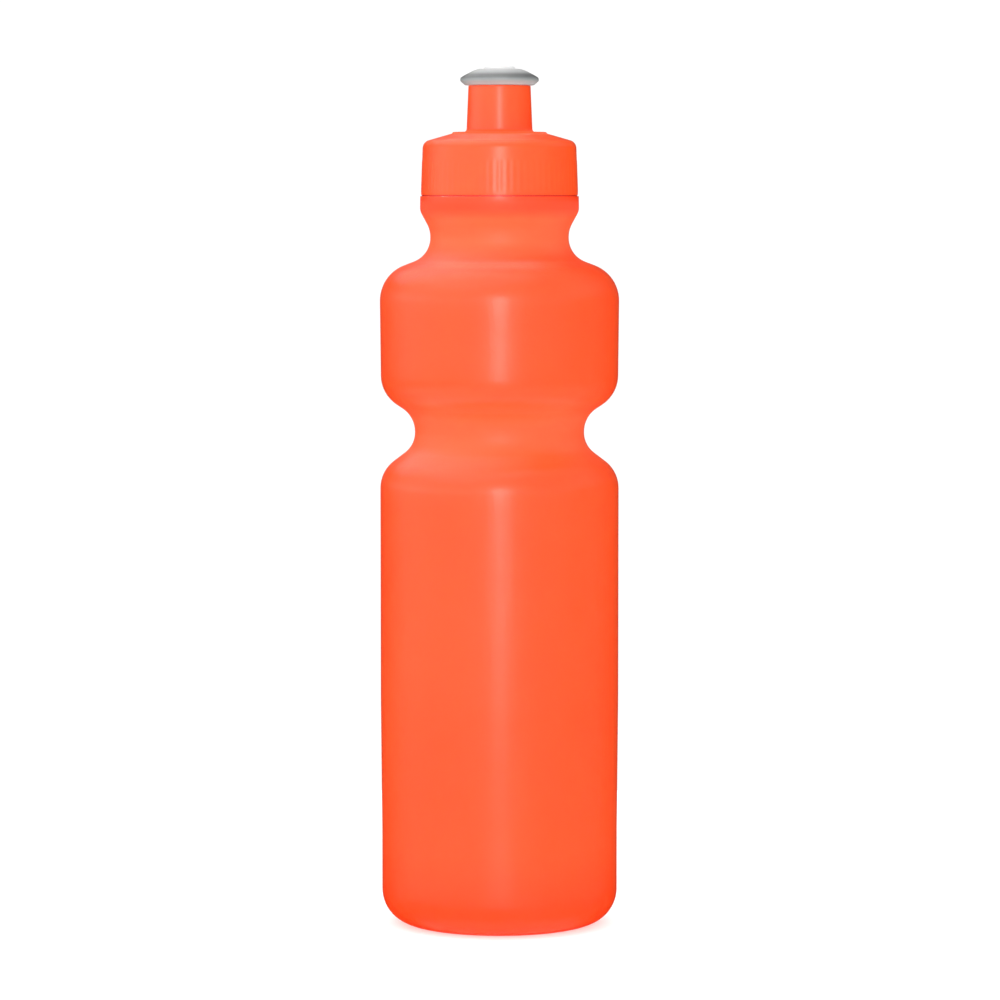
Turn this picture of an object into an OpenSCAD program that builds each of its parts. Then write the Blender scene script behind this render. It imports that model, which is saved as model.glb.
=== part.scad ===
// Squeeze bottle with a grip waist, a ribbed screw cap, a sealing ring and a push-pull mouthpiece.
// Millimetres, +Z up, origin at the middle of the face that the bottle stands on.

/* [Bottle diameters] */
// Outside diameter of the lower chamber
body_d = 73.5; // [72.8:0.1:74.5]
// Outside diameter of the lower chamber just above its rounded foot
foot_d = 72.8; // [71.5:0.1:73]
// Outside diameter of the grip waist
waist_d = 52.1; // [51.2:0.1:54]
// Outside diameter of the upper chamber at its lower end
upper_foot_d = 73; // [71.5:0.1:74]
// Outside diameter of the upper chamber at its shoulder
upper_d = 73.8; // [72:0.1:75]
// Outside diameter of the groove under the collar
groove_d = 42.5; // [42:0.1:43.5]
// Outside diameter of the collar under the cap
collar_d = 48.8; // [48.4:0.1:49.2]
// Wall thickness of the blown bottle
wall = 1.2; // [0.9:0.1:1.4]

/* [Bottle heights] */
// Height at which the lower chamber reaches its full diameter
taper_top_z = 70; // [55:1:90]
// Height of the lower chamber's shoulder corner
lower_shoulder_z = 140.5; // [130:0.5:141]
// Height of the middle of the waist
waist_z = 153; // [152.5:0.1:154]
// Height of the upper chamber's lower corner
upper_foot_z = 164.3; // [163.8:0.1:167]
// Height of the upper chamber's shoulder corner
upper_shoulder_z = 201.1; // [197:0.1:201.4]
// Height of the collar's top face
collar_top_z = 225.6; // [225.2:0.1:227]
// Height of the push-up in the middle of the base
push_up = 3.2; // [2:0.2:4]

/* [Bottle rounding] */
// Radius of the rounded foot
foot_radius = 10.5; // [8:0.5:13]
// Radius of the lower chamber's shoulder
lower_shoulder_radius = 10.5; // [7:0.5:12]
// Radius of the hollow at the waist's lower end
waist_low_radius = 7.8; // [6:0.1:7.8]
// Radius of the hollow at the waist's upper end
waist_top_radius = 8.7; // [6:0.1:8.7]
// Radius of the upper chamber's lower edge
upper_foot_radius = 10.7; // [7:0.1:11.5]
// Radius of the upper chamber's shoulder
upper_shoulder_radius = 11.6; // [8:0.1:12]

/* [Thread] */
// Rise of the thread in one turn
pitch = 5; // [4.5:0.1:5.5]
// Diameter of the neck between the threads
neck_d = 41.8; // [41.4:0.1:42]
// How far the thread stands out from the neck
thread_depth = 1.3; // [1:0.1:1.4]
// Turns of thread on the neck
neck_turns = 1.4; // [1:0.1:1.5]
// Turns of thread in the cap
cap_turns = 1.25; // [1:0.05:1.3]

/* [Cap] */
// Outside diameter at the mouth of the cap, over the ribs
cap_d = 48.4; // [47.8:0.1:49]
// Height of the straight skirt
skirt_h = 16.1; // [15.7:0.1:16.6]
// Height of the ribbed band
rib_band_h = 10.6; // [8:0.1:11]
// Number of grip ribs around the cap
ribs = 72; // [48:6:96]
// How far the ribs stand out
rib_depth = 0.15; // [0.1:0.05:0.3]
// Outside diameter of the spout tube at its top
spout_d = 19.1; // [18.8:0.1:19.8]
// Height of the spout tube above the cap's raised disc
spout_h = 14.2; // [13.5:0.1:15]

/* [Mouthpiece] */
// Diameter of the mouthpiece's flange
flange_d = 24.4; // [23.8:0.1:25.4]
// Diameter of the drinking hole
hole_d = 5.1; // [4.5:0.1:6]
// How far the mouthpiece pulls out
pull = 6; // [4:0.5:6]

/* [Hidden] */
$fn = 128;
arc_step = 12;

// Bottle radii
body_r = body_d / 2;
foot_r = foot_d / 2;
waist_r = waist_d / 2;
upper_foot_r = upper_foot_d / 2;
upper_r = upper_d / 2;
groove_r = groove_d / 2;
collar_r = collar_d / 2;
neck_r = neck_d / 2;
neck_bore_r = neck_r - wall;

// Bottle base: a flat standing ring around a shallow push-up
dome_r = 15;
dome_radius = 12;
ring_inner_r = 20.5;
ring_radius = 2.5;

// Soft blends at both ends of the lower chamber's slight taper
taper_foot_z = 30;
taper_foot_radius = 200;
taper_top_radius = 400;

// Waist and neck groove
waist_half = 4.4;
groove_low_z = upper_shoulder_z + 6;
groove_top_z = groove_low_z + 7.8;
groove_low_radius = 7.9;
groove_top_radius = 8.5;

// Collar, with a low ring on it that closes the view under the cap
collar_low_z = collar_top_z - 4.9;
collar_low_radius = 4.2;
collar_edge = 0.4;
collar_ring_gap = 0.45;
collar_ring_z = collar_top_z + 1;
collar_ring_root = 0.2;
collar_ring_edge = 0.4;
rim_edge = 0.3;

// Cap: its mouth stops just above the collar
mouth_gap = 0.2;
cap_z = collar_top_z + mouth_gap;
skirt_r = cap_d / 2 - rib_depth;
skirt_draft = 0.55;
skirt_top_r = skirt_r - skirt_draft;
skirt_top_z = cap_z + skirt_h;
skirt_corner = 2.6;
cap_edge = 0.3;
rib_low_z = cap_z + 0.5;
disc_r = 14.3;
disc_z = skirt_top_z + 3.05;
disc_edge = 0.4;
disc_step = 0.5;
thread_play = 0.35;
cap_bore_r = neck_r + thread_depth + thread_play;
ceiling_z = skirt_top_z - 1;
roof = 1.6;
collar_ring_r = cap_bore_r - collar_ring_gap;

// Plug skirt inside the neck, with a tapered lead-in
plug_gap = 0.5;
plug_wall = 1;
plug_outer_r = neck_bore_r - plug_gap;
plug_inner_r = plug_outer_r - plug_wall;
plug_low_z = ceiling_z - 4.4;
plug_lead_r = 0.3;
plug_lead_h = 0.8;
plug_root_z = ceiling_z + 0.6;

// Sealing ring: it fills the space between the cap's ceiling and the bottle's rim
seal_t = 1.2;
seal_gap = 0.1;
seal_top_z = ceiling_z - seal_gap;
seal_low_z = seal_top_z - seal_t;
seal_inner_r = plug_outer_r + 0.2;
seal_outer_r = cap_bore_r - 0.25;
seal_edge = 0.25;
rim_z = seal_low_z - seal_gap;

// Spout tube, with a lip at its top that holds the mouthpiece in
spout_r = spout_d / 2;
spout_base_r = spout_r + 0.6;
spout_top_z = disc_z + spout_h;
spout_root = 1;
spout_edge = 0.3;
spout_bore_r = 8.2;
lip_r = 7.85;
lip_h = 1.4;
lip_slope = 0.4;

// Closing pin on its three spokes
hole_r = hole_d / 2;
pin_tip_r = hole_r - 0.12;
pin_r = 3;
pin_low_z = disc_z - 0.9;
pin_neck_z = spout_top_z - 2.6;
pin_shoulder_z = spout_top_z + 0.8;
pin_top_z = spout_top_z + 5;
pin_round = 0.8;
spokes = 3;
spoke_w = 1.6;
spoke_h = 2.4;

// Mouthpiece stem, with a bead that stops under the spout's lip when the mouthpiece is pulled out
stem_r = lip_r - 0.25;
stem_wall = 1.2;
stem_bore_r = stem_r - stem_wall;
bead_r = spout_bore_r - 0.2;
bead_play = 0.1;
bead_top_z = spout_top_z - lip_h - lip_slope - pull - bead_play;
bead_slope = 0.5;
bead_h = 0.7;
bead_low_z = bead_top_z - bead_slope - bead_h;
bead_lead = 0.4;
stem_low_z = bead_low_z - bead_lead;

// Mouthpiece flange: a rounded rim, a fine groove and a dome with a lip round the drinking hole
flange_r = flange_d / 2;
flange_low_z = spout_top_z + 0.1;
flange_low_r = 10.5;
flange_low_edge = 0.6;
rim_low_z = flange_low_z + 1.4;
rim_radius = 0.7;
rim_top_r = flange_r - 0.2;
rim_top_z = flange_low_z + 2.35;
rim_top_edge = 0.5;
channel_r = 10.8;
channel_z = rim_top_z + 0.05;
channel_radius = 0.3;
shoulder_r = 10.3;
shoulder_z = flange_low_z + 3.2;
shoulder_edge = 0.5;
dome_mid_r = 8.6;
dome_mid_z = flange_low_z + 4.1;
dome_mid_radius = 4;
crown_r = 7;
crown_z = flange_low_z + 4.7;
crown_radius = 2;
mouth_lip_r = 4.2;
mouth_lip_root_r = mouth_lip_r + 0.4;
mouth_lip_root = 0.3;
mouth_lip_top_z = crown_z + 1.1;
mouth_lip_edge = 0.5;
hole_edge = 0.4;
throat_z = flange_low_z + 2.8;
stem_roof_z = flange_low_z + 1.2;

// Thread section, run-out and place
thread_base = 2.2;
thread_crest = 1;
thread_step = 10;
thread_run_out = 40;
thread_end = 0.1;
neck_thread_z = collar_top_z + 4;
cap_thread_start = 90;
cap_thread_z = neck_thread_z - pitch / 2 + pitch * cap_thread_start / 360;
cap_crest_r = neck_r + 0.4;

// How far a joined shape is sunk into the wall that it stands on
bite = 0.5;

// ---------------------------------------------------------------- outlines
// An outline is a list of corners [radius, height, rounding].

function flat(v) = [v[0], v[1]];
function heading(a, b) = (flat(b) - flat(a)) / norm(flat(b) - flat(a));
function left_of(d) = [-d[1], d[0]];
function turned(v, angle) = [
    v[0] * cos(angle) - v[1] * sin(angle),
    v[0] * sin(angle) + v[1] * cos(angle)
];

// Signed angle by which the outline turns at corner b, positive to the left
function turn_at(a, b, c) =
    let (d = heading(a, b), e = heading(b, c))
    atan2(d[0] * e[1] - d[1] * e[0], d * e);

// Corner b moved so that both of its edges shift by gap to their left
function shifted(a, b, c, gap) =
    let (n = left_of(heading(a, b)) + left_of(heading(b, c)))
    flat(b) + n * gap * 2 / (n * n);

// Points of the arc that rounds corner b
function arc_at(a, b, c) =
    let (
        turn = turn_at(a, b, c),
        side = sign(turn),
        centre = shifted(a, b, c, side * b[2]),
        spoke = -side * b[2] * left_of(heading(a, b)),
        steps = max(1, ceil(abs(turn) / arc_step))
    )
    [for (i = [0 : steps]) centre + turned(spoke, turn * i / steps)];

// A closed outline with its corners rounded
function rounded(corners) =
    let (n = len(corners))
    [
        for (i = [0 : n - 1])
            let (a = corners[(i + n - 1) % n], b = corners[i], c = corners[(i + 1) % n])
            each (b[2] > 0 ? arc_at(a, b, c) : [flat(b)])
    ];

// The inner corners of an even wall: every corner between the first and the last, shifted left
function inset(corners, gap) = [
    for (i = [1 : len(corners) - 2])
        let (
            a = corners[i - 1],
            b = corners[i],
            c = corners[i + 1],
            p = shifted(a, b, c, gap)
        )
        [p[0], p[1], max(0, b[2] - sign(turn_at(a, b, c)) * gap)]
];

function reversed(list) = [for (i = [len(list) - 1 : -1 : 0]) list[i]];

module lathe(corners) {
    rotate_extrude() polygon(rounded(corners));
}

// ---------------------------------------------------------------- thread
// A helical bead from radius root_r to crest_r, run out to nothing at both ends. The root is sunk
// into the wall, and the sections are trapezoids turned a few degrees apart.

module thread(root_r, crest_r, turns, start, z) {
    steps = round(turns * 360 / thread_step);
    points = [
        for (i = [0 : steps])
            let (
                angle = i * thread_step,
                from_end = min(angle, steps * thread_step - angle),
                reach = min(1, thread_end + from_end / thread_run_out),
                crest = root_r + (crest_r - root_r) * reach,
                mid = z + pitch * angle / 360,
                radii = [root_r, crest, crest, root_r],
                heights = [-thread_base, -thread_crest, thread_crest, thread_base] / 2
            )
            for (k = [0 : 3])
                [
                    radii[k] * cos(start + angle),
                    radii[k] * sin(start + angle),
                    mid + heights[k]
                ]
    ];
    sides = [
        for (i = [0 : steps - 1], k = [0 : 3])
            let (a = 4 * i + k, b = 4 * i + (k + 1) % 4)
            each [[a, b, b + 4], [a, b + 4, a + 4]]
    ];
    last = 4 * steps;
    ends = [[2, 1, 0], [3, 2, 0], [last, last + 1, last + 2], [last, last + 2, last + 3]];
    faces = concat(sides, ends);
    // Inward threads have their crest inside their root, which turns every face over
    polyhedron(points, crest_r > root_r ? faces : [for (f = faces) reversed(f)]);
}

// ---------------------------------------------------------------- bottle

// The blown wall, from the middle of the base to the top of the collar
blown_outside = [
    [0, push_up, 0],
    [dome_r, push_up, dome_radius],
    [ring_inner_r, 0, ring_radius],
    [foot_r, 0, foot_radius],
    [foot_r, taper_foot_z, taper_foot_radius],
    [body_r, taper_top_z, taper_top_radius],
    [body_r, lower_shoulder_z, lower_shoulder_radius],
    [waist_r, waist_z - waist_half, waist_low_radius],
    [waist_r, waist_z + waist_half, waist_top_radius],
    [upper_foot_r, upper_foot_z, upper_foot_radius],
    [upper_r, upper_shoulder_z, upper_shoulder_radius],
    [groove_r, groove_low_z, groove_low_radius],
    [groove_r, groove_top_z, groove_top_radius],
    [collar_r, collar_low_z, collar_low_radius],
    [collar_r, collar_top_z, collar_edge],
    [neck_r, collar_top_z, 0],
    [neck_r, rim_z, 0]
];

// The same wall as it is seen: the collar carries a low ring
collar_ring = [
    [collar_ring_r, collar_top_z, collar_ring_root],
    [collar_ring_r, collar_ring_z, collar_ring_edge],
    [neck_r, collar_ring_z, collar_ring_root],
    [neck_r, rim_z, rim_edge]
];

function without_last(list, count) = [for (i = [0 : len(list) - 1 - count]) list[i]];

module bottle_body() {
    color("orangered") {
        union() {
            lathe(concat(
                without_last(blown_outside, 2),
                collar_ring,
                [[neck_bore_r, rim_z, rim_edge]],
                reversed(inset(blown_outside, wall)),
                [[0, push_up + wall, 0]]
            ));
            thread(neck_r - bite, neck_r + thread_depth, neck_turns, 0, neck_thread_z);
        }
    }
}

// ---------------------------------------------------------------- cap

cap_outline = [
    [cap_bore_r, cap_z, cap_edge],
    [skirt_r, cap_z, cap_edge],
    [skirt_top_r, skirt_top_z, skirt_corner],
    [disc_r + disc_edge, disc_z - disc_step, disc_edge],
    [disc_r, disc_z, disc_edge],
    [spout_base_r, disc_z, spout_root],
    [spout_r, spout_top_z, spout_edge],
    [lip_r, spout_top_z, spout_edge],
    [lip_r, spout_top_z - lip_h, 0],
    [spout_bore_r, spout_top_z - lip_h - lip_slope, 0],
    [spout_bore_r, disc_z - roof, 0],
    [disc_r, disc_z - roof, 0],
    [plug_inner_r, plug_root_z, 0],
    [plug_inner_r, plug_low_z, 0],
    [plug_outer_r - plug_lead_r, plug_low_z, 0],
    [plug_outer_r, plug_low_z + plug_lead_h, 0],
    [plug_outer_r, ceiling_z, 0],
    [cap_bore_r, ceiling_z, 0]
];

// Fine grip ribs around the lower part of the skirt, following its draft
module grip_ribs() {
    rib_w = PI * skirt_r / ribs;
    for (i = [0 : ribs - 1]) {
        rotate([0, 0, i * 360 / ribs])
            translate([skirt_r - bite, -rib_w / 2, rib_low_z])
                rotate([0, -atan(skirt_draft / skirt_h), 0])
                    cube([bite + rib_depth, rib_w, rib_band_h - (rib_low_z - cap_z)]);
    }
}

// The pin that closes the drinking hole, on spokes that let the drink past
module closing_pin() {
    lathe([
        [0, pin_low_z, 0],
        [pin_r, pin_low_z, 0],
        [pin_r, pin_neck_z, 0],
        [pin_tip_r, pin_shoulder_z, 0],
        [pin_tip_r, pin_top_z, pin_round],
        [0, pin_top_z, 0]
    ]);
    for (i = [0 : spokes - 1]) {
        rotate([0, 0, i * 360 / spokes])
            translate([pin_r - bite, -spoke_w / 2, pin_low_z])
                cube([spout_bore_r - pin_r + 2 * bite, spoke_w, spoke_h]);
    }
}

module screw_cap() {
    color("tomato") {
        union() {
            lathe(cap_outline);
            grip_ribs();
            closing_pin();
            thread(cap_bore_r + bite, cap_crest_r, cap_turns, cap_thread_start, cap_thread_z);
        }
    }
}

// ---------------------------------------------------------------- seal

module cap_seal() {
    color("whitesmoke") {
        lathe([
            [seal_inner_r, seal_low_z, seal_edge],
            [seal_outer_r, seal_low_z, seal_edge],
            [seal_outer_r, seal_top_z, seal_edge],
            [seal_inner_r, seal_top_z, seal_edge]
        ]);
    }
}

// ---------------------------------------------------------------- mouthpiece

mouthpiece_outline = [
    [stem_bore_r, stem_low_z, 0],
    [stem_r, stem_low_z, 0],
    [bead_r, bead_low_z, 0],
    [bead_r, bead_low_z + bead_h, 0],
    [stem_r, bead_top_z, 0],
    [stem_r, flange_low_z, 0],
    [flange_low_r, flange_low_z, flange_low_edge],
    [flange_r, rim_low_z, rim_radius],
    [rim_top_r, rim_top_z, rim_top_edge],
    [channel_r, channel_z, channel_radius],
    [shoulder_r, shoulder_z, shoulder_edge],
    [dome_mid_r, dome_mid_z, dome_mid_radius],
    [crown_r, crown_z, crown_radius],
    [mouth_lip_root_r, crown_z, mouth_lip_root],
    [mouth_lip_r, mouth_lip_top_z, mouth_lip_edge],
    [hole_r, mouth_lip_top_z, hole_edge],
    [hole_r, throat_z, 0],
    [stem_bore_r, stem_roof_z, 0]
];

module mouthpiece() {
    color("silver") lathe(mouthpiece_outline);
}

bottle_body();
screw_cap();
cap_seal();
mouthpiece();
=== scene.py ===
"""A squeeze bottle with a grip waist, a ribbed screw cap and a push-pull mouthpiece, on a pale floor.

Each piece is a turned shell: an outline of corners with rounded edges, swept round the bottle's axis,
with relief (threads, ribs, a mould line) worked out for each point. The bottle adds a low ridge under
its base, and the cap adds a pin on three spokes. Outlines are in millimetres.
"""

import math

import bpy
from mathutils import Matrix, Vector


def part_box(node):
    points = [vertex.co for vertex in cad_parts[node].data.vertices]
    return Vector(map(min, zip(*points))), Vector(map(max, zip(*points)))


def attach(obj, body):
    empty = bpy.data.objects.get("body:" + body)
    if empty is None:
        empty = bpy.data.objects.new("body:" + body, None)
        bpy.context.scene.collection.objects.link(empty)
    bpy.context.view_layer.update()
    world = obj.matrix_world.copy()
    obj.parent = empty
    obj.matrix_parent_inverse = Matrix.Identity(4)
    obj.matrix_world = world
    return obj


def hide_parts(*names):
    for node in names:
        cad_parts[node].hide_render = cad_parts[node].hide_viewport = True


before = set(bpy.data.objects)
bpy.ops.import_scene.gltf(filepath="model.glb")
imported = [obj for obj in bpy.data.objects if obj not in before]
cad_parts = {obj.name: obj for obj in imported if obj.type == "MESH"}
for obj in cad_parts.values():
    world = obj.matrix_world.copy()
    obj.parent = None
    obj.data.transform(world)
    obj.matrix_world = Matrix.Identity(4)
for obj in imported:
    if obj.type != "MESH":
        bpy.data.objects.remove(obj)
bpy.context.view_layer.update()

MM = 0.001
FULL_TURN = 2 * math.pi


# ------------------------------------------------------------------ the frame's boxes, in millimetres

def box_mm(node):
    """Widest radius, lowest height and highest height of a CAD node."""
    low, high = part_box(node)
    return high.x / MM, low.z / MM, high.z / MM


body_r, _, rim_z = box_mm("bottle_body")
cap_r, cap_z, pin_top_z = box_mm("screw_cap")
seal_r, seal_low_z, seal_top_z = box_mm("cap_seal")
flange_r, stem_low_z, lip_top_z = box_mm("mouthpiece")


# ------------------------------------------------------------------ outlines

def heading(a, b):
    """Unit direction from corner a to corner b."""
    dr, dz = b[0] - a[0], b[1] - a[1]
    length = math.hypot(dr, dz)
    return dr / length, dz / length


def shifted(a, b, c, gap):
    """Corner b after both of its edges have moved by gap to their left."""
    d, e = heading(a, b), heading(b, c)
    n = (-d[1] - e[1], d[0] + e[0])
    k = 2 * gap / (n[0] ** 2 + n[1] ** 2)
    return b[0] + n[0] * k, b[1] + n[1] * k


def turn_at(a, b, c):
    """Angle by which the outline turns at corner b, in radians, positive to the left."""
    d, e = heading(a, b), heading(b, c)
    return math.atan2(d[0] * e[1] - d[1] * e[0], d[0] * e[0] + d[1] * e[1])


def arc_at(a, b, c, arc_step):
    """Points of the arc that rounds corner b = (radius, height, rounding)."""
    turn = turn_at(a, b, c)
    side = math.copysign(1, turn)
    centre = shifted(a, b, c, side * b[2])
    d = heading(a, b)
    spoke = (side * b[2] * d[1], -side * b[2] * d[0])
    steps = max(2, math.ceil(abs(turn) / arc_step))
    points = []
    for i in range(steps + 1):
        t = turn * i / steps
        points.append((
            centre[0] + spoke[0] * math.cos(t) - spoke[1] * math.sin(t),
            centre[1] + spoke[0] * math.sin(t) + spoke[1] * math.cos(t),
        ))
    return points


def rounded(corners, arc_step=math.radians(6), longest=4.0):
    """The closed outline with its corners rounded and its long edges divided.

    A corner is (radius, height, rounding), and may add the longest step of the edge after it.
    """
    count = len(corners)
    stretches = []
    for i, corner in enumerate(corners):
        a, c = corners[i - 1], corners[(i + 1) % count]
        points = arc_at(a, corner, c, arc_step) if corner[2] > 0 else [corner[:2]]
        stretches.append((points, corner[3] if len(corner) > 3 else longest))
    outline = []
    for i, (points, step) in enumerate(stretches):
        outline += points
        (r0, z0), (r1, z1) = points[-1], stretches[(i + 1) % count][0][0]
        parts = max(1, math.ceil(math.hypot(r1 - r0, z1 - z0) / step))
        for k in range(1, parts):
            outline.append((r0 + (r1 - r0) * k / parts, z0 + (z1 - z0) * k / parts))
    return outline


def inset(corners, gap):
    """Corners of the inner face of an even wall, for every corner but the first and the last."""
    inner = []
    for a, b, c in zip(corners, corners[1:], corners[2:]):
        r, z = shifted(a, b, c, gap)
        inner.append((r, z, max(0.0, b[2] - math.copysign(gap, turn_at(a, b, c)))))
    return inner


# ------------------------------------------------------------------ turned meshes

AXIS = 1e-6  # a radius under this is on the axis
ON_FACE = 0.01  # a point this near a face's radius is on that face
SHARP_EDGE = math.radians(40)  # faces that meet at more than this angle are shaded with an edge


def even_angles(count):
    return [FULL_TURN * i / count for i in range(count)]


def turned(outline, angles, relief=None):
    """Vertices (mm) and faces of the solid that a closed outline sweeps. relief(r, z, angle) gives
    how far a point moves out from the axis and how far it moves up."""
    verts, rings = [], []
    for r, z in outline:
        if r < AXIS:
            rings.append([len(verts)] * len(angles))
            verts.append((0.0, 0.0, z))
            continue
        rings.append(list(range(len(verts), len(verts) + len(angles))))
        for angle in angles:
            out, up = relief(r, z, angle) if relief else (0.0, 0.0)
            verts.append(((r + out) * math.cos(angle), (r + out) * math.sin(angle), z + up))
    faces = []
    count = len(angles)
    for i, low in enumerate(rings):
        high = rings[(i + 1) % len(rings)]
        if low[0] == low[-1] and high[0] == high[-1]:
            continue
        for j in range(count):
            k = (j + 1) % count
            face = [low[j], low[k], high[k], high[j]]
            faces.append([v for n, v in enumerate(face) if v not in face[:n]])
    return verts, faces


def merged(*parts):
    """Several (vertices, faces) as one."""
    verts, faces = [], []
    for part_verts, part_faces in parts:
        base = len(verts)
        verts += part_verts
        faces += [[v + base for v in f] for f in part_faces]
    return verts, faces


def piece(name, shape, material, node, body):
    """A Blender object from vertices in millimetres, standing for a CAD node and riding on its body."""
    verts, faces = shape
    mesh = bpy.data.meshes.new(name)
    mesh.from_pydata([(x * MM, y * MM, z * MM) for x, y, z in verts], [], faces)
    mesh.validate()
    mesh.polygons.foreach_set("use_smooth", [True] * len(mesh.polygons))
    mesh.set_sharp_from_angle(angle=SHARP_EDGE)
    mesh.materials.append(material)
    obj = bpy.data.objects.new(name, mesh)
    bpy.context.scene.collection.objects.link(obj)
    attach(obj, body)
    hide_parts(node)
    return obj


# ------------------------------------------------------------------ thread and rib relief

def smooth(t):
    """0 to 1 with soft ends."""
    t = min(1.0, max(0.0, t))
    return t * t * (3 - 2 * t)


PITCH = 5.0
THREAD_DEPTH = 1.3
THREAD_BASE = 2.2
THREAD_CREST = 1.0
RUN_OUT = math.radians(40)
NECK_TURNS = 1.4
CAP_TURNS = 1.25
CAP_THREAD_START = math.pi / 2


def thread_height(z, angle, start_z, start_angle, turns):
    """Height of a helical thread above its wall, from 0 to 1."""
    flank = (THREAD_BASE - THREAD_CREST) / 2
    best = 0.0
    along = (angle - start_angle) % FULL_TURN
    while along <= turns * FULL_TURN:
        off = abs(z - (start_z + PITCH * along / FULL_TURN))
        reach = min(1.0, along / RUN_OUT, (turns * FULL_TURN - along) / RUN_OUT)
        best = max(best, smooth((THREAD_BASE / 2 - off) / flank) * smooth(reach))
        along += FULL_TURN
    return best


# ------------------------------------------------------------------ bottle

wall = 1.2
push_up = 3.2
push_up_r = 15
standing_r = 20.5
rim_edge = 0.3

foot_r = 36.4
lower_r = 36.75
waist_r = 26.05
upper_foot_r = 36.5
upper_r = 36.9
groove_r = 21.25
collar_r = 24.4
neck_r = 20.9
neck_bore_r = neck_r - wall

taper_low_z = 30
taper_top_z = 70
lower_shoulder_z = 140.5
waist_z = 153
waist_half = 4.4
upper_foot_z = 164.3
upper_shoulder_z = 201.1
groove_low_z = 207.1
groove_top_z = 214.9
narrowest_z = 212.5  # of the neck groove
collar_top_z = 225.6
collar_low_z = collar_top_z - 4.9
neck_thread_z = collar_top_z + 4

blown_outside = [
    (0, push_up, 0),
    (push_up_r, push_up, 12),
    (standing_r, 0, 2.5),
    (foot_r, 0, 10.5),
    (foot_r, taper_low_z, 200),
    (lower_r, taper_top_z, 400),
    (lower_r, lower_shoulder_z, 10.5),
    (waist_r, waist_z - waist_half, 7.8),
    (waist_r, waist_z + waist_half, 8.7),
    (upper_foot_r, upper_foot_z, 10.7),
    (upper_r, upper_shoulder_z, 11.6),
    (groove_r, groove_low_z, 7.9),
    (groove_r, groove_top_z, 8.5),
    (collar_r, collar_low_z, 4.2),
    (collar_r, collar_top_z, 0.15),
    (neck_r, collar_top_z, 0.2),
    (neck_r, rim_z, rim_edge),
]

# The collar's edge is a little low, which leaves a fine dark seam under the cap
seam_h = 0.34
seam_low_z = collar_top_z - seam_h
seam_top_z = collar_top_z + 0.05
seam_r = 23.95
neck_step = 0.2  # longest step up the threaded neck

bottle_outside = blown_outside[:-3] + [
    (collar_r, seam_low_z, 0.1),
    (seam_r, seam_low_z, 0.05),
    (seam_r, seam_top_z, 0.02),
    (neck_r, seam_top_z, 0.2, neck_step),
    (neck_r, rim_z, rim_edge),
]

MOULD_LINE_ROWS = (0.0, 0.16, 0.32, 0.5, 0.75, 1.1)  # distances from the line that get a row of points
MOULD_LINE_H = 0.06
MOULD_LINE_W = 0.3
MOULD_LINE_REACH = 2
MOULD_LINE_LOW_Z = 2


def bottle_angles(between=90):
    """Angles round the bottle, closer together at the mould line on each side."""
    near = [d / body_r for d in MOULD_LINE_ROWS]
    half = sorted(near + [math.pi - a for a in near[1:]])
    span = math.pi - 2 * near[-1]
    half += [near[-1] + span * i / between for i in range(1, between)]
    half = sorted(half)
    return half + [a + math.pi for a in half]


def bottle_relief(r, z, angle):
    """The thread on the neck, and the mould line up both sides of the blown body."""
    if abs(r - neck_r) < ON_FACE and z > collar_top_z + 0.5:
        return THREAD_DEPTH * thread_height(z, angle, neck_thread_z, 0.0, NECK_TURNS), 0.0
    aside = abs(math.sin(angle)) * r
    on_body = MOULD_LINE_LOW_Z < z < collar_top_z - 0.5 and r > outside_r(z) - 0.1
    if on_body and aside < MOULD_LINE_REACH:
        return MOULD_LINE_H * math.exp(-((aside / MOULD_LINE_W) ** 2)), 0.0
    return 0.0, 0.0


outside_table = sorted((z, r) for r, z in rounded(bottle_outside + [(0, rim_z, 0)]) if z < collar_top_z)


def outside_r(z):
    """Radius of the bottle's outer face at a height, between the outline's points."""
    for (z0, r0), (z1, r1) in zip(outside_table, outside_table[1:]):
        if z0 <= z <= z1:
            return r0 + (r1 - r0) * (z - z0) / max(z1 - z0, 1e-9)
    return 0.0


def ridge(length, width, height, z, segments=24, sides=10):
    """A low rounded ridge along X under the base, where the mould pinched the plastic shut."""
    verts, faces = [], []
    for i in range(segments + 1):
        t = -1 + 2 * i / segments
        x = t * length / 2
        size = math.sqrt(max(0.0, 1 - t ** 8))
        for k in range(sides):
            a = FULL_TURN * k / sides
            verts.append((x, width / 2 * size * math.cos(a), z + height * size * math.sin(a)))
    for i in range(segments):
        for k in range(sides):
            a, b = i * sides + k, i * sides + (k + 1) % sides
            faces.append([a, b, b + sides, a + sides])
    faces.append(list(range(sides))[::-1])
    faces.append([segments * sides + k for k in range(sides)])
    return verts, [f[::-1] for f in faces]


def bottle_shape():
    inner = inset(blown_outside, wall)[::-1]
    corners = bottle_outside + [(neck_bore_r, rim_z, rim_edge)] + inner + [(0, push_up + wall, 0)]
    shell = turned(rounded(corners), bottle_angles(), bottle_relief)
    return merged(shell, ridge(length=26, width=0.9, height=0.35, z=push_up))


# ------------------------------------------------------------------ cap

mouth_z = collar_top_z + 0.06  # as close to the collar as a closed cap looks

skirt_top_z = cap_z + 16.1
ceiling_z = skirt_top_z - 1
disc_z = skirt_top_z + 3.05
roof = 1.6
spout_top_z = disc_z + 14.2
flange_low_z = spout_top_z + 0.1

ribs = 72
points_per_rib = 6
rib_depth = 0.06
rib_low_z = cap_z + 0.7
rib_low_fade = 0.4
rib_top_z = cap_z + 10.6
rib_top_fade = 0.5

skirt_r = cap_r - rib_depth
skirt_top_r = skirt_r - 0.55
disc_r = 14.3
disc_edge = 0.4
spout_r = 9.55
spout_foot = 0.6
spout_bore_r = 8.2
lip_r = 7.85
lip_h = 1.4
lip_slope = 0.4
hole_r = 2.55

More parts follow.
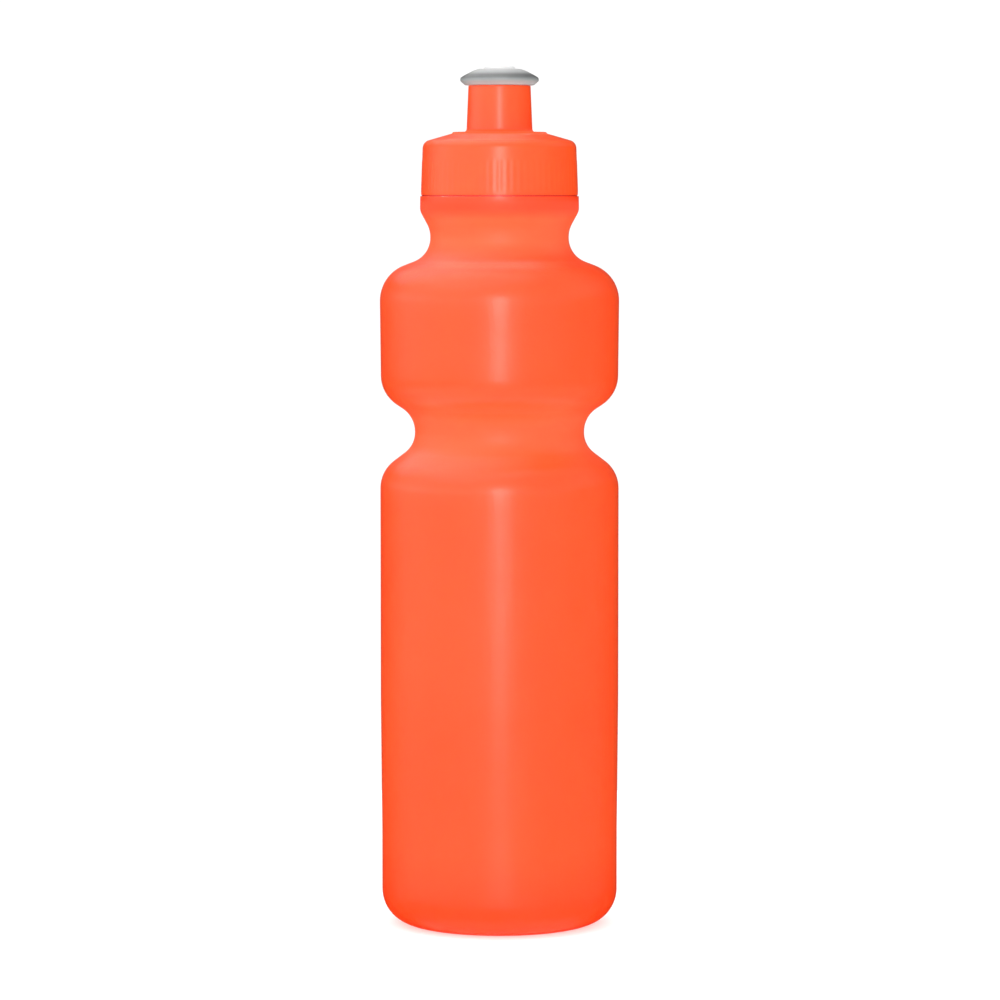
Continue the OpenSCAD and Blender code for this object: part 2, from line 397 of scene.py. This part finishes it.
cap_bore_r = neck_r + THREAD_DEPTH + 0.35
cap_crest_r = neck_r + 0.4
cap_thread_z = neck_thread_z - PITCH / 2 + PITCH * CAP_THREAD_START / FULL_TURN

plug_r = neck_bore_r - 0.5
plug_wall = 1
plug_low_z = ceiling_z - 4.4
plug_lead = 0.3
plug_lead_h = 0.8

skirt_step = 0.5  # longest step up the ribbed skirt
bore_step = 0.3  # longest step down the threaded bore

cap_outline = [
    (cap_bore_r, mouth_z, 0.12),
    (skirt_r, mouth_z, 0.12, skirt_step),
    (skirt_top_r, skirt_top_z, 2.6),
    (disc_r + disc_edge, disc_z - 0.5, 0.5),
    (disc_r, disc_z, 0.4),
    (spout_r + spout_foot, disc_z, 1.0),
    (spout_r, spout_top_z, 0.35),
    (lip_r, spout_top_z, 0.3),
    (lip_r, spout_top_z - lip_h, 0),
    (spout_bore_r, spout_top_z - lip_h - lip_slope, 0),
    (spout_bore_r, disc_z - roof, 0.5),
    (disc_r, disc_z - roof, 1),
    (plug_r - plug_wall, ceiling_z + 0.6, 0.5),
    (plug_r - plug_wall, plug_low_z, 0.3),
    (plug_r - plug_lead, plug_low_z, 0.2),
    (plug_r, plug_low_z + plug_lead_h, 0.3),
    (plug_r, ceiling_z, 0.3),
    (cap_bore_r, ceiling_z, 0.4, bore_step),
]


def cap_relief(r, z, angle):
    """The thread in the bore, and the ribs round the skirt."""
    if abs(r - cap_bore_r) < ON_FACE and cap_z < z < ceiling_z:
        height = thread_height(z, angle, cap_thread_z, CAP_THREAD_START, CAP_TURNS)
        return (cap_crest_r - cap_bore_r) * height, 0.0
    if r > skirt_top_r - ON_FACE and rib_low_z < z < rib_top_z + 1:
        wave = 0.5 + 0.5 * math.cos(angle * ribs)
        fade = smooth((z - rib_low_z) / rib_low_fade) * smooth((rib_top_z - z) / rib_top_fade)
        return rib_depth * wave * fade, 0.0
    return 0.0, 0.0


def spoke(angle, inner, outer, width, low_z, high_z, edge=0.25, corner_steps=3):
    """A flat web from the pin to the spout's wall, with its edges a little rounded."""
    outline = []
    for cy, cz, start in (
        (width / 2 - edge, high_z - edge, 0.0),
        (-width / 2 + edge, high_z - edge, 0.5),
        (-width / 2 + edge, low_z + edge, 1.0),
        (width / 2 - edge, low_z + edge, 1.5),
    ):
        for i in range(corner_steps + 1):
            a = math.pi * (start + 0.5 * i / corner_steps)
            outline.append((cy + edge * math.cos(a), cz + edge * math.sin(a)))
    verts = []
    for r in (inner, outer):
        for y, z in outline:
            verts.append((
                r * math.cos(angle) - y * math.sin(angle),
                r * math.sin(angle) + y * math.cos(angle),
                z,
            ))
    n = len(outline)
    faces = [[k, (k + 1) % n, n + (k + 1) % n, n + k] for k in range(n)]
    faces += [list(range(n))[::-1], list(range(n, 2 * n))]
    return verts, faces


def closing_pin(low_z):
    """The pin in the spout, whose narrow tip closes the drinking hole."""
    pin_r = 3
    tip_r = hole_r - 0.12
    return turned(
        rounded([
            (0, low_z, 0),
            (pin_r, low_z, 0.4),
            (pin_r, spout_top_z - 2.6, 1),
            (tip_r, spout_top_z + 0.8, 1),
            (tip_r, pin_top_z, 0.8),
            (0, pin_top_z, 0),
        ]),
        even_angles(64),
    )


def cap_shape():
    outline = rounded(cap_outline, arc_step=math.radians(10))
    shell = turned(outline, even_angles(ribs * points_per_rib), cap_relief)
    pin_low_z = disc_z - 0.9
    spoke_h = 2.4
    spokes = [
        spoke(angle, 2.4, spout_bore_r + 0.5, width=1.6, low_z=pin_low_z, high_z=pin_low_z + spoke_h)
        for angle in even_angles(3)
    ]
    return merged(shell, closing_pin(pin_low_z), *spokes)


# ------------------------------------------------------------------ seal and mouthpiece

def seal_shape():
    inner_r = plug_r + 0.2
    edge = 0.3
    return turned(
        rounded([
            (inner_r, seal_low_z, edge),
            (seal_r, seal_low_z, edge),
            (seal_r, seal_top_z, edge),
            (inner_r, seal_top_z, edge),
        ], arc_step=math.radians(18)),
        even_angles(144),
    )


def mouthpiece_shape():
    """A hollow stem with a retaining bead, under a flange that curves up to the drinking lip."""
    stem_r = lip_r - 0.25
    stem_bore_r = stem_r - 1.2
    bead_r = spout_bore_r - 0.2
    curve_r = 10.6
    shoulder_r = 8.2
    lip_foot_r = 6.4
    lip_outer_r = 4.9
    lip_inner_r = 4.5
    lip_face_z = lip_top_z - 0.1
    flange_top_z = flange_low_z + 5.0
    return turned(
        rounded([
            (stem_bore_r, stem_low_z, 0.2),
            (stem_r, stem_low_z, 0.2),
            (bead_r, stem_low_z + 0.4, 0.15),
            (bead_r, stem_low_z + 1.1, 0.15),
            (stem_r, stem_low_z + 1.6, 0.15),
            (stem_r, flange_low_z, 0.2),
            (curve_r, flange_low_z, 0.9),
            (flange_r, flange_low_z + 1.35, 0.8),
            (flange_r - 0.15, flange_low_z + 2.35, 0.7),
            (curve_r, flange_low_z + 3.15, 3),
            (shoulder_r, flange_low_z + 4.4, 5),
            (lip_foot_r, flange_top_z, 2),
            (lip_outer_r, flange_top_z, 0.3),
            (lip_inner_r, lip_face_z, 0.4),
            (hole_r, lip_face_z, 0.5),
            (hole_r, flange_low_z + 2.8, 0.3),
            (stem_bore_r, flange_low_z + 1.2, 0.5),
        ], arc_step=math.radians(7)),
        even_angles(144),
    )


# ------------------------------------------------------------------ materials

COLOUR_A, COLOUR_B, COLOUR_OUT = 6, 7, 2  # the colour sockets of a Mix node


class Nodes:
    """Short words for building a node material."""

    def __init__(self, name):
        self.material = bpy.data.materials.new(name)
        self.material.use_nodes = True
        self.tree = self.material.node_tree
        self.shader = self.tree.nodes["Principled BSDF"]

    def add(self, kind, **values):
        node = self.tree.nodes.new(kind)
        for key, value in values.items():
            if key in node.inputs:
                node.inputs[key].default_value = value
            else:
                setattr(node, key, value)
        return node

    def link(self, out, into):
        self.tree.links.new(out, into)

    def coordinates(self, scale=(1, 1, 1)):
        """Object coordinates in metres, stretched by scale."""
        source = self.add("ShaderNodeTexCoord")
        mapping = self.add("ShaderNodeMapping", Scale=scale)
        self.link(source.outputs["Object"], mapping.inputs["Vector"])
        return mapping.outputs["Vector"]

    def noise(self, scale, detail=2.0, stretch=(1, 1, 1)):
        """Cloudy noise from 0 to 1, with scale lumps to the metre."""
        node = self.add("ShaderNodeTexNoise", Scale=scale, Detail=detail)
        self.link(self.coordinates(stretch), node.inputs["Vector"])
        return node.outputs["Fac"]

    def ramp(self, value, low, high, lowest, highest):
        """value between low and high, spread over lowest to highest."""
        node = self.add("ShaderNodeMapRange")
        for key, number in (("From Min", low), ("From Max", high), ("To Min", lowest), ("To Max", highest)):
            node.inputs[key].default_value = number
        self.link(value, node.inputs["Value"])
        return node.outputs["Result"]

    def mixed(self, factor, first, second):
        """The colour first where factor is 0, and second where it is 1."""
        node = self.add("ShaderNodeMix", data_type="RGBA")
        self.link(factor, node.inputs["Factor"])
        node.inputs[COLOUR_A].default_value = (*first, 1)
        node.inputs[COLOUR_B].default_value = (*second, 1)
        return node.outputs[COLOUR_OUT]

    def mottled(self, scale, first, second, detail=3):
        """A faint cloudy mix of two colours."""
        return self.mixed(self.ramp(self.noise(scale, detail), 0.35, 0.65, 0, 1), first, second)

    def sheen(self, scale, smoothest, roughest):
        """Roughness that varies a little from place to place."""
        return self.ramp(self.noise(scale, detail=4), 0.3, 0.7, smoothest, roughest)

    def zone(self, z, middle, reach):
        """1 near the height middle, falling to 0 at reach (mm) above and below it."""
        core = 0.4 * reach
        away = self.add("ShaderNodeMath", operation="SUBTRACT")
        away.inputs[1].default_value = middle * MM
        self.link(z, away.inputs[0])
        apart = self.add("ShaderNodeMath", operation="ABSOLUTE")
        self.link(away.outputs[0], apart.inputs[0])
        return self.ramp(apart.outputs[0], core * MM, reach * MM, 1, 0)

    def tinted(self, colour, where, other):
        """colour, or the other colour where the zone is 1."""
        node = self.add("ShaderNodeMix", data_type="RGBA")
        self.link(where, node.inputs["Factor"])
        self.link(colour, node.inputs[COLOUR_A])
        node.inputs[COLOUR_B].default_value = (*other, 1)
        return node.outputs[COLOUR_OUT]

    def dulled(self, roughness, where, rough):
        """roughness, or rough where the zone is 1."""
        node = self.add("ShaderNodeMix", B=rough)
        self.link(where, node.inputs["Factor"])
        self.link(roughness, node.inputs["A"])
        return node.outputs["Result"]

    def times(self, first, second):
        """The product of two numbers."""
        node = self.add("ShaderNodeMath", operation="MULTIPLY")
        self.link(first, node.inputs[0])
        self.link(second, node.inputs[1])
        return node.outputs["Value"]

    def height(self):
        """Height above the floor at rest, in metres."""
        split = self.add("ShaderNodeSeparateXYZ")
        self.link(self.coordinates(), split.inputs["Vector"])
        return split.outputs["Z"]

    def radius(self):
        """Distance from the bottle's axis, in metres."""
        flat = self.add("ShaderNodeVectorMath", operation="LENGTH")
        self.link(self.coordinates((1, 1, 0)), flat.inputs[0])
        return flat.outputs["Value"]

    def bump(self, height, distance, before=None, strength=1.0):
        """A normal raised by height times distance (m), over the normal before."""
        node = self.add("ShaderNodeBump", Strength=strength, Distance=distance)
        self.link(height, node.inputs["Height"])
        if before is not None:
            self.link(before, node.inputs["Normal"])
        return node.outputs["Normal"]

    def set(self, **values):
        """Values of the shader's own sockets, with _ for a space in their names."""
        for key, value in values.items():
            self.shader.inputs[key.replace("_", " ")].default_value = value


def bottle_plastic():
    """Translucent low-density polyethylene: deep orange-red, waxy, faintly rippled by blowing. It is
    duller at the waist and the neck, and dullest on the collar. Its colour is lighter at the waist and the
    neck, as painted light for the glow in those hollows, darker at the foot and at the collar under the
    cap, as painted shade, and dark in the seam, as painted shade between the collar and the cap."""
    m = Nodes("bottle_plastic")
    z = m.height()

    tint = m.mottled(22, (1.0, 0.066, 0.005), (1.0, 0.074, 0.007))
    # Height middle (mm), reach (mm) and colour of each zone: painted light makes the waist and the neck
    # lighter, and painted shade makes the collar under the cap and the foot darker
    for middle_z, reach, colour in (
        (waist_z - 0.5, 12, (1.0, 0.105, 0.02)),
        (narrowest_z + 2, 8, (1.0, 0.115, 0.026)),
        # Painted shade: the collar under the cap and the foot are darkened
        (collar_top_z - 2, 5, (1.0, 0.05, 0.002)),
        (0, 26, (1.0, 0.054, 0.002)),
    ):
        tint = m.tinted(tint, m.zone(z, middle_z, reach), colour)
    # Painted shade: a thin dark line on the outermost faces at the collar's top, in the seam under the cap
    outermost = m.ramp(m.radius(), (seam_r - 0.3) * MM, (seam_r - 0.05) * MM, 0, 1)
    painted_seam_shade = m.times(m.zone(z, collar_top_z - 0.1, 0.42), outermost)
    m.link(m.tinted(tint, painted_seam_shade, (0.6, 0.015, 0.0)), m.shader.inputs["Base Color"])

    roughness = m.sheen(160, 0.29, 0.33)
    for middle_z, reach, rough in (
        (collar_top_z - 4.2, 3.4, 0.6),
        (narrowest_z, 9, 0.46),
        (waist_z, 10, 0.46),
    ):
        roughness = m.dulled(roughness, m.zone(z, middle_z, reach), rough)
    m.link(roughness, m.shader.inputs["Roughness"])

    ripple = m.bump(m.noise(30, stretch=(1, 1, 0.35)), 0.0012, strength=0.25)
    flow = m.bump(m.noise(420, stretch=(1, 1, 0.06)), 0.0001, ripple, 0.35)
    peel = m.bump(m.noise(1300, detail=3), 0.00006, flow, 0.6)
    m.link(peel, m.shader.inputs["Normal"])
    m.set(Subsurface_Weight=0.35, Subsurface_Radius=(1.0, 0.35, 0.18), Subsurface_Scale=0.004, IOR=1.51)
    return m.material


def cap_plastic():
    """Moulded polyethylene in the same colour, less translucent. Its dome is a little lighter, as painted
    light where it faces up into the room, and its raised disc is matt."""
    m = Nodes("cap_plastic")
    z = m.height()
    tint = m.mottled(60, (0.98, 0.068, 0.003), (0.98, 0.076, 0.004))
    # Painted light: the dome's colour is made lighter where it faces up
    dome_painted_light = m.zone(z, disc_z - 2, 2.6)
    m.link(m.tinted(tint, dome_painted_light, (1.0, 0.088, 0.013)), m.shader.inputs["Base Color"])
    on_disc = m.zone(z, disc_z, 1)
    m.link(m.dulled(m.sheen(500, 0.29, 0.33), on_disc, 0.85), m.shader.inputs["Roughness"])
    m.link(m.bump(m.noise(2200, detail=3), 0.00002, strength=0.3), m.shader.inputs["Normal"])
    m.set(Subsurface_Weight=0.25, Subsurface_Radius=(1.0, 0.35, 0.18), Subsurface_Scale=0.003, IOR=1.51)
    return m.material


def mouthpiece_plastic():
    """Frosted clear-grey plastic: mid grey on the stem and the underside, with a painted dark band above
    the rim as a painted reflection, and near white at the lip as painted light shining through it."""
    m = Nodes("mouthpiece_plastic")
    low, high = flange_low_z, lip_top_z
    greys_and_painted_shading = m.add("ShaderNodeValToRGB")
    m.link(m.ramp(m.height(), low * MM, high * MM, 0, 1), greys_and_painted_shading.inputs["Fac"])
    stops = greys_and_painted_shading.color_ramp.elements
    stops.remove(stops[1])
    # Height above the flange's underside (mm), red, and the level that green and blue share. The dark band
    # from 2.5 to 3.2 mm is a painted reflection, the near-white lip at the top is painted light, and the
    # lower stops are less red to offset orange light bounced up from the bottle
    for i, (rise, red, grey) in enumerate((
        (0, 0.4, 0.4), (0.2, 0.4, 0.49), (1.3, 0.34, 0.39),
        (1.9, 0.25, 0.27), (2.5, 0.14, 0.145), (3.2, 0.165, 0.17),
        (3.9, 0.42, 0.43), (4.8, 0.57, 0.57), (5.2, 0.82, 0.82),
    )):
        stop = stops[0] if i == 0 else stops.new(rise / (high - low))
        stop.color = (red, grey, grey, 1)
    cloudy = m.add("ShaderNodeMix", data_type="RGBA", blend_type="MULTIPLY")
    cloudy.inputs["Factor"].default_value = 1
    m.link(greys_and_painted_shading.outputs["Color"], cloudy.inputs[COLOUR_A])
    m.link(m.ramp(m.noise(90, detail=3), 0.35, 0.65, 0.93, 1), cloudy.inputs[COLOUR_B])
    m.link(cloudy.outputs[COLOUR_OUT], m.shader.inputs["Base Color"])
    m.link(m.sheen(600, 0.3, 0.36), m.shader.inputs["Roughness"])
    m.link(m.bump(m.noise(2600, detail=3), 0.00003, strength=0.5), m.shader.inputs["Normal"])
    m.set(Transmission_Weight=0.15, IOR=1.5)
    return m.material


def seal_rubber():
    """Off-white soft elastomer."""
    m = Nodes("seal_rubber")
    m.link(m.mottled(300, (0.76, 0.75, 0.71), (0.84, 0.83, 0.8), detail=4), m.shader.inputs["Base Color"])
    m.link(m.sheen(900, 0.55, 0.68), m.shader.inputs["Roughness"])
    m.link(m.bump(m.noise(3000, detail=3), 0.00003, strength=0.5), m.shader.inputs["Normal"])
    m.set(Subsurface_Weight=0.15, Subsurface_Radius=(1, 0.95, 0.85), Subsurface_Scale=0.001)
    return m.material


def floor_paint():
    """Pale matt paper, which a camera under the floor looks through."""
    m = Nodes("floor_paint")
    clouds = m.ramp(m.noise(5, detail=4), 0.3, 0.7, 0, 1)
    m.link(m.mixed(clouds, (0.93, 0.93, 0.93), (0.95, 0.95, 0.95)), m.shader.inputs["Base Color"])
    m.set(Roughness=0.9, Specular_IOR_Level=0.1, Emission_Color=(1, 1, 1, 1), Emission_Strength=0.12)
    clear = m.add("ShaderNodeBsdfTransparent")
    one_way = m.add("ShaderNodeMixShader")
    m.link(m.add("ShaderNodeNewGeometry").outputs["Backfacing"], one_way.inputs["Fac"])
    m.link(m.shader.outputs["BSDF"], one_way.inputs[1])
    m.link(clear.outputs["BSDF"], one_way.inputs[2])
    m.link(one_way.outputs["Shader"], m.tree.nodes["Material Output"].inputs["Surface"])
    return m.material


# ------------------------------------------------------------------ studio

def linked(obj):
    bpy.context.scene.collection.objects.link(obj)
    return obj


def studio_floor():
    """A pale sheet under the object. It ends a little way behind, where the white room takes over, and
    reflections look past it into the room."""
    half_width, front, back = 3.0, -4.0, 0.3
    verts = [(-half_width, front, 0), (half_width, front, 0), (half_width, back, 0), (-half_width, back, 0)]
    mesh = bpy.data.meshes.new("studio_floor")
    mesh.from_pydata(verts, [], [(0, 1, 2, 3)])
    mesh.materials.append(floor_paint())
    floor = linked(bpy.data.objects.new("studio_floor", mesh))
    floor.visible_glossy = False


def foot_shade(radius=0.077, clearance=0.0004, sides=64):
    """A black disc on the floor that only reflections see, in place of the shade under the foot."""
    m = Nodes("foot_shade")
    m.set(Base_Color=(0, 0, 0, 1), Roughness=1.0, Specular_IOR_Level=0.0)
    verts = [(radius * math.cos(a), radius * math.sin(a), clearance) for a in even_angles(sides)]
    mesh = bpy.data.meshes.new("foot_shade")
    mesh.from_pydata(verts, [], [list(range(sides))])
    mesh.materials.append(m.material)
    disc = linked(bpy.data.objects.new("foot_shade", mesh))
    disc.visible_camera = False
    disc.visible_diffuse = False
    disc.visible_shadow = False
    disc.visible_transmission = False


def softbox(name, place, target, size, radiance):
    """An area light at place, facing target, of size (width, height) in metres and even brightness."""
    light = bpy.data.lights.new(name, "AREA")
    light.shape = "RECTANGLE"
    light.size, light.size_y = size
    light.energy = radiance * math.pi * size[0] * size[1]
    obj = linked(bpy.data.objects.new(name, light))
    away = Vector(place) - Vector(target)
    obj.location = place
    obj.rotation_euler = away.to_track_quat("Z", "Y").to_euler()
    obj.visible_camera = False
    return obj


def studio_room():
    """A white room. The camera and matt surfaces see it evenly lit. In reflections it is brightest just
    above the horizon and dim just below it, and it grows dimmer overhead, to the right and behind."""
    world = bpy.data.worlds.new("studio_room")
    world.use_nodes = True
    tree = world.node_tree
    background = tree.nodes["Background"]
    background.inputs["Color"].default_value = (1, 1, 1, 1)
    seen_strength, fill_strength = 1.05, 1.0

    def node(kind, **inputs):
        made = tree.nodes.new(kind)
        for key, value in inputs.items():
            made.inputs[key.replace("_", " ")].default_value = value
        return made

    def join(out, into):
        tree.links.new(out, into)

    def step(value, start, end, before, after):
        """before, up to start, then softly to after at end."""
        made = node("ShaderNodeMapRange", From_Min=start, From_Max=end, To_Min=before, To_Max=after)
        made.interpolation_type = "SMOOTHSTEP"
        join(value, made.inputs["Value"])
        return made.outputs["Result"]

    def times(first, second):
        made = node("ShaderNodeMath")
        made.operation = "MULTIPLY"
        join(first, made.inputs[0])
        join(second, made.inputs[1])
        return made.outputs["Value"]

    def plus(first, second):
        made = node("ShaderNodeMath")
        join(first, made.inputs[0])
        join(second, made.inputs[1])
        return made.outputs["Value"]

    # Each part of a direction runs from -1 to 1: X to the right, Y to the back, Z up
    split = node("ShaderNodeSeparateXYZ")
    join(node("ShaderNodeTexCoord").outputs["Generated"], split.inputs["Vector"])
    x, y, z = split.outputs["X"], split.outputs["Y"], split.outputs["Z"]

    # The bright part starts at the horizon, and higher up on the right, except in front
    right_drop = times(step(x, 0.3, 0.8, 0.0, -0.22), step(y, -0.6, 0.0, 0.0, 1.0))
    above = step(plus(z, right_drop), -0.1, 0.06, 0.38, 2.5)
    floor_glow = step(z, -0.45, -0.25, 0.55, 0.0)
    overhead = times(step(z, 0.06, 0.3, 1.0, 0.68), step(z, 0.5, 0.9, 1.0, 0.65))
    right = step(x, 0.0, 0.75, 1.0, 0.45)
    back = step(y, -0.15, 0.85, 1.0, 0.03)
    mirrored = times(times(plus(above, floor_glow), overhead), times(right, back))

    path = node("ShaderNodeLightPath")
    matt_or_mirror = node("ShaderNodeMix", A=fill_strength)
    join(path.outputs["Is Glossy Ray"], matt_or_mirror.inputs["Factor"])
    join(mirrored, matt_or_mirror.inputs["B"])
    camera = node("ShaderNodeMix", B=seen_strength)
    join(path.outputs["Is Camera Ray"], camera.inputs["Factor"])
    join(matt_or_mirror.outputs["Result"], camera.inputs["A"])
    join(camera.outputs["Result"], background.inputs["Strength"])
    bpy.context.scene.world = world


def distant(name, azimuth, elevation, spread, radiance):
    """A far soft disc of light, spread degrees wide, that reaches into hollows without a shadow.
    Azimuth 0 is in front of the object, and grows to the right."""
    light = bpy.data.lights.new(name, "SUN")
    light.angle = math.radians(spread)
    light.energy = radiance * math.pi * math.sin(light.angle / 2) ** 2
    light.use_shadow = False
    light.cycles.use_multiple_importance_sampling = False
    a, e = math.radians(azimuth), math.radians(elevation)
    towards = Vector((math.cos(e) * math.sin(a), -math.cos(e) * math.cos(a), math.sin(e)))
    obj = linked(bpy.data.objects.new(name, light))
    obj.rotation_euler = towards.to_track_quat("Z", "Y").to_euler()
    return obj


def studio_lights():
    """A tall strip that the plastic mirrors, a soft fill that it doesn't, and three far discs of light."""
    strip_x, strip_z = 0.007, 0.26
    strip_distance = 1.25
    strip_size = (0.142, 0.77)
    softbox("front_strip", (strip_x, -strip_distance, strip_z), (strip_x, 0, strip_z), strip_size, 11.5)
    bottle_middle = (0, 0, 0.15)
    fill = softbox("top_left_fill", (-0.9, -0.9, 1.6), bottle_middle, (1.2, 1.2), 0.6)
    fill.visible_glossy = False
    distant("back_left", azimuth=-150, elevation=52, spread=60, radiance=0.9)
    distant("top", azimuth=-60, elevation=72, spread=70, radiance=0.65)
    distant("below", azimuth=180, elevation=-80, spread=80, radiance=0.35)


def studio_camera():
    """A long lens in front of the bottle, at the cap's height, tilted a little down."""
    distance, aside, height = 1.3658, 0.00015, 0.228
    tilt = math.radians(4.04)
    camera = bpy.data.cameras.new("camera")
    camera.sensor_width = 36
    camera.lens = 159.4
    obj = linked(bpy.data.objects.new("camera", camera))
    obj.location = (aside, -distance, height)
    obj.rotation_euler = (math.pi / 2 - tilt, 0, 0)
    bpy.context.scene.camera = obj


# ------------------------------------------------------------------ the scene

studio_camera()
studio_room()
studio_lights()
studio_floor()
foot_shade()
bpy.context.scene.view_settings.view_transform = "Standard"

piece("bottle_shell", bottle_shape(), bottle_plastic(), "bottle_body", "bottle")
piece("cap_shell", cap_shape(), cap_plastic(), "screw_cap", "cap")
piece("seal_ring", seal_shape(), seal_rubber(), "cap_seal", "seal_carrier")
piece("push_pull_mouthpiece", mouthpiece_shape(), mouthpiece_plastic(),
      "mouthpiece", "valve")
